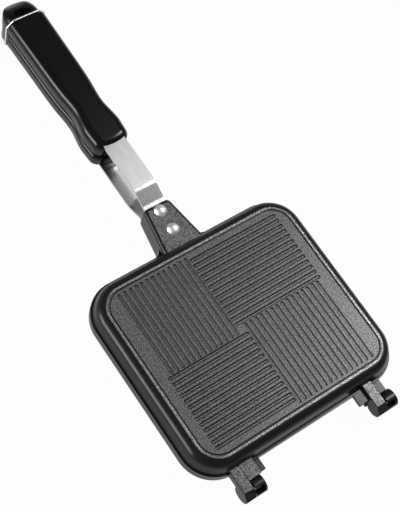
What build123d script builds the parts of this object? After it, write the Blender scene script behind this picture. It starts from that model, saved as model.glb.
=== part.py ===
"""Pie iron: two matching dished plates, hooked together by lugs at the front and
held shut by a wire bail at the ends of their grips.

Frame: origin at the middle of the lower plate's resting face, +Z up, handles
towards -X, hinge towards +X. Lengths are in millimetres.

A half is drawn with the joint plane of the pair at z = 0 and its outer face up; the
lower half is turned over about the long axis, so the hook on one plate meets the pin
on the other. Both plates are one casting.
"""
import os
from math import radians, tan

from build123d import *

# Plate casting
plate_width = 153.8          # over the flange, along Y
plate_length = 135.2         # over the flange, along X
half_height = 14.0           # joint plane to outer face
rim_gap = 0.3                # between the two rims when shut
flange_height = 3.15         # joint plane to the flange's ledge
flange_ledge = 1.5           # flange standing out past the wall
flange_edge = 0.6            # rounding of the flange's ledge
flange_corner_radius = 23.0
wall_draft = 20.9            # degrees from upright
shoulder_radius = 4.3        # wall rolling into the outer face

# Cooking dish inside a plate
rim_land = 4.0               # flat rim that meets the other plate
floor_thickness = 3.4
dish_draft = 19.0            # degrees from upright
dish_floor_radius = 3.0

# Outer face: border groove and pinwheel of slots
groove_inset = 0.9           # lip left outside the groove
groove_width = 0.8
groove_depth = 0.5
slot_pitch = 4.0
slot_width = 1.8
slot_depth = 0.9
slot_web = 0.9               # wall left where a slot meets the next block
slot_margin_x = 3.8          # slot ends to the lip, along X
slot_margin_y = 8.4          # slot ends to the lip, along Y

# Tang, the cast stub that carries the handle strap
tang_length = 29.1           # beyond the flange
tang_end_width = 19.0
tang_root_width = 28.6
tang_drop = 5.3              # tang face below the plate's outer face
tang_skin = 2.2              # over the strap
tang_edge_radius = 1.0
tang_corner_radius = 2.0
tang_root_fillet = 6.0

# Hinge lugs: a closed outer lug holds the pin, an open inner lug hooks over one
hinge_reach = 12.7           # pin axis beyond the flange
knuckle_radius = 5.7
lug_flat = 0.9               # flat top of a lug past the pin axis
lug_end_rise = 0.9           # bottom of a lug's sloping end above the joint plane
lug_edge = 0.5               # rounding of the lugs' long edges
lug_width = 7.0
lug_setback = 18.9           # pin lug's outer face to the flange's side
lug_gap = 1.0                # between hook and pin lug
lug_root_overlap = 1.0       # pin lug's root past the hook's inner face
lug_root_length = 8.7        # pin lug's root beyond the flange
hook_foot_width = 7.0        # thin foot beside the hook
hook_foot_length = 7.5       # beyond the flange
knuckle_relief = 0.6         # clearance round the other plate's knuckle
hinge_pin_radius = 2.4
hinge_running_clearance = 0.05
hinge_seat_clearance = 0.02
hinge_pin_seat = 5.2         # length held in the pin lug
pin_end_gap = 0.2            # pin's end to the other plate's cheek
hook_cheek = 1.4             # closed inner side of the hook
mouth_angle = 45.0           # openings of both lugs below the plate's own level
pin_slit_half = 1.9          # half the front opening of the pin lug

# Handle strap
strap_width = 15.8
strap_thickness = 1.5
strap_side_clearance = 0.1
strap_end_clearance = 0.8
strap_rise = 5.0             # joggle outwards between tang and grip
strap_joggle_length = 12.8
strap_lead_out = 1.0         # flat length past the tang
strap_bend_radius = 4.0
strap_bare_length = 45.9     # tang to grip
strap_grip_depth = 89.8      # length buried in the grip

# Rivets through tang and strap
rivet_head_radius = 4.2
rivet_head_height = 2.3
rivet_shank_radius = 2.2
rivet_tail_radius = 3.3
rivet_tail_height = 1.1
rivet_clearance = 0.02
rivet_setback = 5.3          # first rivet from the tang's end
rivet_spacing = 14.3

# Grip moulding
grip_length = 106.0          # front end to the shoulder
grip_inset = 0.3             # grip face below the plate's outer face
grip_gap = 0.8               # between the two grips when shut
grip_front_crown = 2.6       # bulge of the front end
grip_front_width = 25.0
flare_width = 26.6
flare_station = 15.0         # from the front end
neck_width = 22.4
neck_station = 33.4
waist_width = 25.0
waist_station = 50.4
swell_width = 26.2
swell_station = 80.8
butt_width = 26.8            # at the shoulder
grip_front_radius = 6.5
grip_face_radius = 5.2
grip_joint_radius = 2.0
nose_width = 24.8
nose_end_radius = 12.2       # seen from above
upper_nose_length = 18.4     # beyond the shoulder
upper_nose_step = 1.75       # below the grip's face
upper_nose_edge_radius = 6.6
lower_nose_length = 17.3
lower_nose_step = 0.5
lower_nose_edge_radius = 2.2
lower_nose_tip_radius = 6.0  # seen from the side
hang_hole_width = 12.0
hang_hole_length = 8.4
hang_hole_station = 5.6      # hole centre from the shoulder

# Screws that hold the strap in the grip, from the joint side
screw_radius = 1.5
screw_clearance = 0.2
screw_thread_clearance = 0.03
screw_head_radius = 3.1
screw_head_height = 1.9
screw_head_sink = 0.5
screw_head_clearance = 0.3
screw_tip_cover = 0.1        # tip short of the strap's far face
screw_first = 20.8           # from the grip's front end
screw_setback = 17.0         # rear screw from the strap's buried end

# Wire bail
wire_radius = 0.75
bail_setback = 1.7           # bail plane beyond the shoulder
bail_pivot_height = 3.5      # above the lower grip plate's resting face
bail_seat_gap = 0.3          # bar to the upper nose
bail_corner_gap = 0.9        # nose narrows this far inside the bar's ends
bail_leg_y = 13.6
bail_corner_y = 14.1
bail_bar_half = 9.2
bail_corner_drop = 5.0
bail_bend_radius = 1.6
bail_foot_bend_radius = 1.0
bail_foot_y = 8.6
bail_running_clearance = 0.05
bail_hole_end_clearance = 0.4

# Places that follow from the sizes above
half_rim_gap = rim_gap / 2
flange_x = plate_length / 2
wall_height = half_height - flange_height
wall_run = wall_height * tan(radians(wall_draft))
shoulder_run = shoulder_radius * tan(radians(90 - wall_draft) / 2)
lip_inset = flange_ledge + wall_run + shoulder_run
tang_face = half_height - tang_drop
strap_ceiling = tang_face - tang_skin
tang_end_x = -(flange_x + tang_length)
strap_mid_tang = strap_ceiling - strap_thickness / 2
strap_mid_grip = strap_mid_tang + strap_rise
grip_front_x = tang_end_x - strap_bare_length
shoulder_x = grip_front_x - grip_length
grip_face = half_height - grip_inset
grip_joint_face = grip_gap / 2
upper_nose_face = grip_face - upper_nose_step
hinge_x = flange_x + hinge_reach
pin_lug_inner_y = plate_width / 2 - lug_setback - lug_width
hook_inner_y = pin_lug_inner_y - lug_gap - lug_width
hook_eye_y = hook_inner_y + hook_cheek
bail_x = shoulder_x - bail_setback
bail_bar_z = half_height + upper_nose_face + bail_seat_gap + wire_radius
nose_swing_radius = bail_bar_z - bail_pivot_height - wire_radius - bail_seat_gap
rivet_xs = [tang_end_x + rivet_setback, tang_end_x + rivet_setback + rivet_spacing]
screw_xs = [grip_front_x - screw_first, grip_front_x - strap_grip_depth + screw_setback]


def rounded_plan(inset, level):
    """Plate outline, set in from the flange, on a plane at this height."""
    outline = RectangleRounded(
        plate_length - 2 * inset,
        plate_width - 2 * inset,
        flange_corner_radius - inset,
    )
    return Pos(0, 0, level) * outline


def slab(x_low, x_high, y_low, y_high, z_low, z_high):
    """Square block between two corners."""
    block = Box(x_high - x_low, y_high - y_low, z_high - z_low, align=(Align.MIN,) * 3)
    return Pos(x_low, y_low, z_low) * block


def bar_along_y(x, z, radius, y_low, y_high):
    """Round bar across the plate."""
    bar = Cylinder(radius, y_high - y_low, align=(Align.CENTER, Align.CENTER, Align.MIN))
    return Pos(x, y_low, z) * Rot(-90, 0, 0) * bar


def upright(x, z_low, z_high, radius):
    """Round bar standing on the centre line."""
    bar = Cylinder(radius, z_high - z_low, align=(Align.CENTER, Align.CENTER, Align.MIN))
    return Pos(x, 0, z_low) * bar


def turned_over(shape):
    """Lower half from a half drawn face up."""
    return Pos(0, 0, half_height) * Rot(180, 0, 0) * shape


def face_up(shape):
    """Upper half from a half drawn face up."""
    return Pos(0, 0, half_height) * shape


def plate_shell():
    """Flange and drafted wall, rolled over into the outer face."""
    flange = extrude(rounded_plan(0, half_rim_gap), flange_height - half_rim_gap)
    flange = fillet(flange.edges().group_by(Axis.Z)[-1], flange_edge)
    wall = extrude(rounded_plan(flange_ledge, flange_height), wall_height, taper=wall_draft)
    shoulder = wall.edges().group_by(Axis.Z)[-1]
    return flange + fillet(shoulder, shoulder_radius)


def dish():
    """Hollow that takes the bread, open at the joint plane."""
    depth = half_height - floor_thickness
    hollow = extrude(rounded_plan(rim_land, 0), depth, taper=dish_draft)
    return fillet(hollow.edges().group_by(Axis.Z)[-1], dish_floor_radius)


def border_groove():
    """Shallow channel just inside the lip of the outer face."""
    level = half_height - groove_depth
    ring = rounded_plan(lip_inset + groove_inset, level)
    ring -= rounded_plan(lip_inset + groove_inset + groove_width, level)
    return extrude(ring, 2 * groove_depth)


def slot_between(x_low, x_high, y_low, y_high):
    """Round-ended slot that fills a long thin rectangle of the outer face."""
    length = max(x_high - x_low, y_high - y_low)
    turn = 0 if x_high - x_low > y_high - y_low else 90
    middle = Pos((x_low + x_high) / 2, (y_low + y_high) / 2)
    return middle * Rot(0, 0, turn) * SlotOverall(length, slot_width)


def pinwheel_slots():
    """Four blocks of slots turned about a small plain square."""
    end_x = plate_length / 2 - lip_inset - slot_margin_x
    end_y = plate_width / 2 - lip_inset - slot_margin_y
    half = slot_width / 2
    shy = half + slot_web
    count_x = int((end_x - half) / slot_pitch)
    count_y = int((end_y - half) / slot_pitch)
    slots = []
    for step in range(1, count_x + 1):
        x = step * slot_pitch
        slots.append(slot_between(-x - half, -x + half, shy - 2 * slot_pitch, end_y))
        slots.append(slot_between(x - half, x + half, -end_y, -shy))
    for step in range(2, count_y + 1):
        y = step * slot_pitch
        slots.append(slot_between(-end_x, slot_pitch - shy, -y - half, -y + half))
    for step in range(count_y + 1):
        y = step * slot_pitch
        slots.append(slot_between(shy - slot_pitch, end_x, y - half, y + half))
    level = Pos(0, 0, half_height - slot_depth)
    return [extrude(level * slot, 2 * slot_depth) for slot in slots]


def tang():
    """Tapered stub with a flared foot where it leaves the flange."""
    root = tang_root_width / 2
    end = tang_end_width / 2
    inside_x = -(flange_x - rim_land)
    outline = Polyline(
        (inside_x, -root),
        (-flange_x, -root),
        (tang_end_x, -end),
        (tang_end_x, end),
        (-flange_x, root),
        (inside_x, root),
        close=True,
    )
    plan = make_face(outline)
    plan = fillet(plan.vertices().group_by(Axis.X)[0], tang_corner_radius)
    body = extrude(Pos(0, 0, half_rim_gap) * plan, tang_face - half_rim_gap)
    face_edges = body.edges().group_by(Axis.Z)[-1]
    body = fillet(face_edges, tang_edge_radius)
    splay = root + 3 * tang_root_fillet
    foot = plan + Pos(inside_x / 2 - flange_x / 2, 0) * Rectangle(rim_land, 2 * splay)
    inner_corners = [v for v in foot.vertices() if abs(v.X + flange_x) < 0.01 and abs(v.Y) < splay - 1]
    foot = fillet(inner_corners, tang_root_fillet)
    return body + extrude(Pos(0, 0, half_rim_gap) * foot, flange_height - half_rim_gap)


def strap_pocket():
    """Channel in the tang's joint side, open at its end."""
    half = strap_width / 2 + strap_side_clearance
    inner_x = rivet_xs[1] + rivet_setback + strap_end_clearance
    return slab(tang_end_x - 1, inner_x, -half, half, -1, strap_ceiling)


def lug_arm(y_low, y_high):
    """Arm with a flat top and a sloping end, round below the joint plane."""
    inside_x = flange_x - rim_land
    flat_end_x = hinge_x + lug_flat
    tip_x = hinge_x + (knuckle_radius**2 - lug_end_rise**2) ** 0.5
    outline = Polyline(
        (inside_x, half_rim_gap),
        (inside_x, knuckle_radius),
        (flat_end_x, knuckle_radius),
        (tip_x, lug_end_rise),
        (hinge_x, half_rim_gap),
        close=True,
    )
    drawn = make_face(Plane.XZ * outline)
    bar = Pos(0, y_low, 0) * extrude(drawn, y_high - y_low, dir=(0, 1, 0))
    top = bar.edges().filter_by(Axis.X).group_by(Axis.Z)[-1]
    bar = fillet(top, lug_edge)
    knuckle = bar_along_y(hinge_x, 0, knuckle_radius, y_low, y_high)
    under = slab(inside_x, tip_x + 1, y_low, y_high, -knuckle_radius, lug_end_rise)
    return bar + (knuckle & under)


def eye(radius, half_mouth, y_low, y_high):
    """Cutter for an eye round the pin axis, open below the plate's own level."""
    bore = bar_along_y(hinge_x, 0, radius, y_low, y_high)
    mouth = slab(0, 2 * knuckle_radius, y_low, y_high, -half_mouth, half_mouth)
    return bore + Pos(hinge_x, 0, 0) * Rot(0, mouth_angle, 0) * mouth


def pin_lug():
    """Lug that holds the pin, with a wide root relieved for the other plate's hook."""
    outer_y = pin_lug_inner_y + lug_width
    root_y = hook_inner_y - lug_root_overlap
    inside_x = flange_x - rim_land
    root_x = flange_x + lug_root_length
    root = slab(inside_x, root_x, -pin_lug_inner_y, -root_y, half_rim_gap, knuckle_radius)
    clear = knuckle_radius + knuckle_relief
    root -= bar_along_y(hinge_x, 0, clear, -outer_y, -root_y + 1)
    seat_end = pin_lug_inner_y + hinge_pin_seat + hinge_seat_clearance
    seat = hinge_pin_radius + hinge_seat_clearance
    lug = lug_arm(-outer_y, -pin_lug_inner_y) + root
    return lug - eye(seat, pin_slit_half, -seat_end, -root_y + 1)


def hook_lug():
    """Hook that takes the other plate's pin, closed at its inner side by a cheek."""
    outer_y = hook_inner_y + lug_width
    inside_x = flange_x - rim_land
    foot_x = flange_x + hook_foot_length
    foot_y = hook_inner_y - hook_foot_width
    foot = slab(inside_x, foot_x, foot_y, hook_inner_y, half_rim_gap, flange_height)
    bore = hinge_pin_radius + hinge_running_clearance
    opening = eye(bore, bore, hook_eye_y, outer_y + 1)
    return lug_arm(hook_inner_y, outer_y) + foot - opening


def plate():
    """One casting: dished plate, tang and its two hinge lugs."""
    body = plate_shell() + tang() + pin_lug() + hook_lug()
    body -= dish()
    body -= strap_pocket()
    for x in rivet_xs:
        body -= upright(x, 0, half_height, rivet_shank_radius + rivet_clearance)
    body -= border_groove()
    return body - pinwheel_slots()


def hinge_pin():
    """Steel pin held in the closed lug and reaching through the hook."""
    seat_end = pin_lug_inner_y + hinge_pin_seat
    pin = bar_along_y(hinge_x, 0, hinge_pin_radius, -seat_end, -hook_eye_y - pin_end_gap)
    return chamfer(pin.edges().group_by(Axis.Y)[-1], hinge_pin_radius / 6)


def strap():
    """Joggled steel strip from the tang into the grip."""
    inner_x = rivet_xs[1] + rivet_setback
    bend_x = tang_end_x - strap_lead_out
    line = FilletPolyline(
        (inner_x, 0, strap_mid_tang),
        (bend_x, 0, strap_mid_tang),
        (bend_x - strap_joggle_length, 0, strap_mid_grip),
        (grip_front_x - strap_grip_depth, 0, strap_mid_grip),
        radius=strap_bend_radius,
    )
    section = Plane(origin=line @ 0, x_dir=(0, 1, 0), z_dir=line % 0)
    strip = sweep(section * Rectangle(strap_width, strap_thickness), path=line)
    for x in rivet_xs:
        strip -= upright(x, 0, half_height, rivet_shank_radius + rivet_clearance)
    for x in screw_xs:
        strip -= upright(x, 0, half_height, screw_radius + screw_thread_clearance)
    return strip


def rivet(x):
    """Domed rivet: head on the tang, tail set against the strap."""
    strap_back = strap_ceiling - strap_thickness
    dome_radius = (rivet_head_radius**2 + rivet_head_height**2) / (2 * rivet_head_height)
    dome = Pos(0, 0, tang_face + rivet_head_height - dome_radius) * Sphere(dome_radius)
    head = dome & upright(0, tang_face, half_height, rivet_head_radius)
    shank = upright(0, strap_back, tang_face, rivet_shank_radius)
    tail = upright(0, strap_back - rivet_tail_height, strap_back, rivet_tail_radius)
    tail = chamfer(tail.edges().group_by(Axis.Z)[0], rivet_tail_height / 2)
    return Pos(x, 0, 0) * (head + shank + tail)


def grip_plan():
    """Grip seen from above: crowned front, flare, finger neck, then a long swell."""
    corner = (grip_front_x - grip_front_crown, grip_front_width / 2)
    stations = [
        (grip_front_x - flare_station, flare_width / 2),
        (grip_front_x - neck_station, neck_width / 2),
        (grip_front_x - waist_station, waist_width / 2),
        (grip_front_x - swell_station, swell_width / 2),
        (shoulder_x, butt_width / 2),
    ]
    side = Spline(*stations, tangents=[(-1, 0), (-1, 0)])
    flank = Line(corner, stations[0])
    crown = ThreePointArc((corner[0], -corner[1]), (grip_front_x, 0), corner)
    butt = Line(stations[-1], (shoulder_x, -butt_width / 2))
    outline = side + flank + mirror(side + flank, about=Plane.XZ) + crown + butt
    plan = make_face(outline)
    return fillet(plan.vertices().group_by(Axis.X)[-1], grip_front_radius)


def grip_body():
    """Main length of the grip with its long edges rolled over."""
    body = extrude(Pos(0, 0, grip_joint_face) * grip_plan(), grip_face - grip_joint_face)
    levels = body.edges().group_by(Axis.Z)
    body = fillet([e for e in levels[-1] if e.center().X > shoulder_x + 1], grip_face_radius)
    levels = body.edges().group_by(Axis.Z)
    return fillet([e for e in levels[0] if e.center().X > shoulder_x + 1], grip_joint_radius)


def nose(length, step, edge_radius):
    """Narrow end of a grip, round seen from above, with rolled long edges."""
    tip_x = shoulder_x - length
    face = grip_face - step
    height = face - grip_joint_face
    root_x = shoulder_x + upper_nose_step
    block = slab(tip_x, root_x, -nose_width / 2, nose_width / 2, grip_joint_face, face)
    block = fillet(block.edges().filter_by(Axis.Z).group_by(Axis.X)[0], nose_end_radius)
    rolled = RectangleRounded(nose_width, 2 * height, edge_radius)
    tube = extrude(Plane.YZ * rolled, root_x - tip_x)
    return block & Pos(tip_x, 0, face - height) * tube


def upper_nose():
    """Nose kept inside the barrel that the bail's bar and corners swing round."""
    pivot_z = bail_pivot_height - half_height
    side = nose_width / 2
    swing = bar_along_y(bail_x, pivot_z, nose_swing_radius, -side, side)
    corner = side - bail_bar_half + bail_corner_gap
    swing = chamfer(swing.edges().filter_by(GeomType.CIRCLE), corner)
    return nose(upper_nose_length, upper_nose_step, upper_nose_edge_radius) & swing


def lower_nose():
    """Deeper nose that carries the bail's feet, rolled over at its tip."""
    body = nose(lower_nose_length, lower_nose_step, lower_nose_edge_radius)
    height = grip_face - lower_nose_step - grip_joint_face
    outline = RectangleRounded(2 * lower_nose_length, 2 * height, lower_nose_tip_radius)
    profile = extrude(Plane.XZ * outline, nose_width, both=True)
    return body & Pos(shoulder_x, 0, grip_joint_face) * profile


def hang_hole():
    """Oval hole through the nose."""
    oval = SlotOverall(hang_hole_width, hang_hole_length, rotation=90)
    return extrude(Pos(shoulder_x - hang_hole_station, 0, 0) * oval, half_height)


def grip(end):
    """Moulded grip with a slot for the strap and sunk screw holes."""
    body = grip_body() + end - hang_hole()
    half_width = strap_width / 2 + strap_side_clearance
    half_thick = strap_thickness / 2 + strap_side_clearance
    slot_end = grip_front_x - strap_grip_depth - strap_end_clearance
    body -= slab(
        slot_end,
        grip_front_x + 1,
        -half_width,
        half_width,
        strap_mid_grip - half_thick,
        strap_mid_grip + half_thick,
    )
    for x in screw_xs:
        head_top = grip_joint_face + screw_head_sink + screw_head_height
        body -= upright(x, 0, head_top, screw_head_radius + screw_head_clearance)
        body -= upright(x, 0, strap_mid_grip, screw_radius + screw_clearance)
    return body


def grip_screw(x):
    """Pan-head screw from the grip's joint side into the strap."""
    head_low = grip_joint_face + screw_head_sink
    head_top = head_low + screw_head_height
    tip = strap_mid_grip + strap_thickness / 2 - screw_tip_cover
    head = upright(x, head_low, head_top, screw_head_radius)
    head = chamfer(head.edges().group_by(Axis.Z)[0], screw_head_height / 3)
    return head + upright(x, head_top, tip, screw_radius)


def bail_holes():
    """Blind holes for the bail's feet, on both sides of the lower nose."""
    deep = bail_foot_y - bail_hole_end_clearance
    radius = wire_radius + bail_running_clearance
    left = bar_along_y(bail_x, bail_pivot_height, radius, -nose_width, -deep)
    right = bar_along_y(bail_x, bail_pivot_height, radius, deep, nose_width)
    return left + right


def bail():
    """Wire bail: bar across the upper nose, legs down to the lower one."""
    corner_z = bail_bar_z - bail_corner_drop
    half = [
        (bail_x, bail_foot_y, bail_pivot_height),
        (bail_x, bail_leg_y, bail_pivot_height),
        (bail_x, bail_corner_y, corner_z),
        (bail_x, bail_bar_half, bail_bar_z),
    ]
    other = [(x, -y, z) for x, y, z in reversed(half)]
    bends = [bail_foot_bend_radius, bail_bend_radius, bail_bend_radius]
    line = FilletPolyline(*half, *other, radius=bends + bends[::-1])
    section = Plane(origin=line @ 0, z_dir=line % 0)
    return sweep(section * Circle(wire_radius), path=line)


def halves():
    """Each half's name, placing function and grip."""
    return (
        ("upper", face_up, grip(upper_nose())),
        ("lower", turned_over, grip(lower_nose())),
    )


def main():
    """Build every piece and write one STEP file each."""
    os.makedirs("parts", exist_ok=True)
    casting = plate()
    strip = strap()
    pin = hinge_pin()
    pieces = {"lock_bail": bail()}
    for side, place, moulding in halves():
        pieces[f"{side}_plate"] = place(casting)
        pieces[f"{side}_hinge_pin"] = place(pin)
        pieces[f"{side}_strap"] = place(strip)
        pieces[f"{side}_grip"] = place(moulding)
        for end, x in zip(("rear", "front"), rivet_xs):
            pieces[f"{side}_{end}_rivet"] = place(rivet(x))
        for end, x in zip(("front", "rear"), screw_xs):
            pieces[f"{side}_{end}_grip_screw"] = place(grip_screw(x))
    pieces["lower_grip"] -= bail_holes()
    for name, shape in pieces.items():
        export_step(shape, f"parts/{name}.step")


main()
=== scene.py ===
"""Pie iron: two hooked cooking plates, straps, grips and a wire bail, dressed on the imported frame.

Sizes are in millimetres. Each half is shaped face up with its joint plane at z = 0, then set
in place or turned over about the long axis, because both halves are the same casting.
"""
import logging
import math
from dataclasses import dataclass, field
from enum import Enum
from typing import Any, Callable, Sequence, Union

import bmesh
import bpy
from mathutils import Matrix, Vector


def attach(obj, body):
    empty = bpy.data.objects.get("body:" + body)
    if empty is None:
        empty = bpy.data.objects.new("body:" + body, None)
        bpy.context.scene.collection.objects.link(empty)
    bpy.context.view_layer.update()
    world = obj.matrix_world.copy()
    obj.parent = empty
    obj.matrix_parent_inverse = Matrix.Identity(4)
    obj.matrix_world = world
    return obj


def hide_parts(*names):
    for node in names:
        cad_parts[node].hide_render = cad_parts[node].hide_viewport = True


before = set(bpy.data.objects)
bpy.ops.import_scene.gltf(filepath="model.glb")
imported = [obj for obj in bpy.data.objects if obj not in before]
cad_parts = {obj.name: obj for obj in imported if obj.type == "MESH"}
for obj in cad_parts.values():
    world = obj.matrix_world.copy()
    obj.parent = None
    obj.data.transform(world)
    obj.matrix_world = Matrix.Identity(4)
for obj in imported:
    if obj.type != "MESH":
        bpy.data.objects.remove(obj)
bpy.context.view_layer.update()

logging.basicConfig(level=logging.INFO, format="%(message)s")
log = logging.getLogger("pie_iron")

MM = 0.001
# How near two vertices are merged, in millimetres, and what counts as one place, in metres.
MERGE = 0.0005
TOUCH = 1e-6

# Places and sizes that several sub-assemblies share.
JOINT_PLANE = 14.0
HINGE_X = 80.3
PIN_RADIUS = 2.4
BAIL_X = -250.3
BAIL_DROP = 10.5
NOSE_HALF = 12.4
RIVET_PLACES = (("rear", -91.4), ("front", -77.1))
SCREW_PLACES = (("front", -163.4), ("rear", -215.4))
# Face mark read by the casting's finish: sand texture, mixed with painted shade (walls, slot floors and
# curves, low lug faces) and a painted highlight on the lip.
SAND_AND_PAINTED_LIGHT = "sand_and_painted_light"

Pair = tuple[float, float]
Triple = tuple[float, float, float]
Inputs = dict[Union[str, int], Any]
Test = Callable[[Any], bool]


class Half(Enum):
    """The two matching halves of the iron, named as their bodies' prefixes."""

    UPPER = "upper"
    LOWER = "lower"

    @property
    def body(self) -> str:
        """Name of the body that this half's pieces ride on."""
        return f"{self.value}_half"


class Mode(Enum):
    """What a selection in edit mode is made of."""

    EDGE = "EDGE"
    FACE = "FACE"


class Cut(Enum):
    """How one solid acts on another."""

    AWAY = "DIFFERENCE"
    JOIN = "UNION"
    KEEP = "INTERSECT"


# ---------------------------------------------------------------- modelling bench


def rounded_path(points: Sequence[Pair], radii: Sequence[float], steps: int, closed: bool) -> list[Pair]:
    """Rounds the corners of a flat path with arcs.

    Args:
        points: the path's corners.
        radii: one radius for each corner, 0 for a sharp one.
        steps: arc segments at a rounded corner.
        closed: whether the last point runs back to the first.

    Returns:
        The path's points with arcs in place of the rounded corners.
    """
    path: list[Pair] = []
    count = len(points)
    for index, (point, radius) in enumerate(zip(points, radii)):
        ends = not closed and index in (0, count - 1)
        if radius <= 0 or ends:
            path.append(tuple(point))
            continue
        here = Vector(point)
        back = (Vector(points[index - 1]) - here).normalized()
        ahead = (Vector(points[(index + 1) % count]) - here).normalized()
        half_angle = back.angle(ahead) / 2
        middle = here + (back + ahead).normalized() * (radius / math.sin(half_angle))
        first = here + back * (radius / math.tan(half_angle)) - middle
        last = here + ahead * (radius / math.tan(half_angle)) - middle
        turn = first.angle_signed(last)
        for step in range(steps + 1):
            spun = Matrix.Rotation(-turn * step / steps, 2) @ first
            path.append(tuple(middle + spun))
    return path


def rounded_box(low: Pair, high: Pair, radii: Sequence[float], steps: int) -> list[Pair]:
    """Outlines a rectangle between two corners, rounded at each corner in turn from the low one."""
    corners = [low, (high[0], low[1]), high, (low[0], high[1])]
    return rounded_path(corners, radii, steps, closed=True)


def smooth_widths(stations: Sequence[Pair], steps: int) -> list[Pair]:
    """Runs a smooth curve through widths at stations, level at both ends.

    Args:
        stations: (distance, half width) in order.
        steps: samples between two stations.

    Returns:
        Sampled (distance, half width) pairs.
    """
    slopes = [0.0]
    for before, here, after in zip(stations, stations[1:], stations[2:]):
        left = (here[1] - before[1]) / (here[0] - before[0])
        right = (after[1] - here[1]) / (after[0] - here[0])
        slopes.append(0.0 if left * right <= 0 else (left + right) / 2)
    slopes.append(0.0)
    samples: list[Pair] = []
    for index, (start, end) in enumerate(zip(stations, stations[1:])):
        run = end[0] - start[0]
        for step in range(steps):
            t = step / steps
            width = (
                (2 * t**3 - 3 * t**2 + 1) * start[1]
                + (t**3 - 2 * t**2 + t) * run * slopes[index]
                + (3 * t**2 - 2 * t**3) * end[1]
                + (t**3 - t**2) * run * slopes[index + 1]
            )
            samples.append((start[0] + run * t, width))
    samples.append(tuple(stations[-1]))
    return samples


def at(axis: str, place: float) -> Test:
    """Makes a test for edges or faces that lie wholly at one place along an axis."""
    return lambda item: all(abs(getattr(vert.co, axis) - place * MM) < TOUCH for vert in item.verts)


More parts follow.
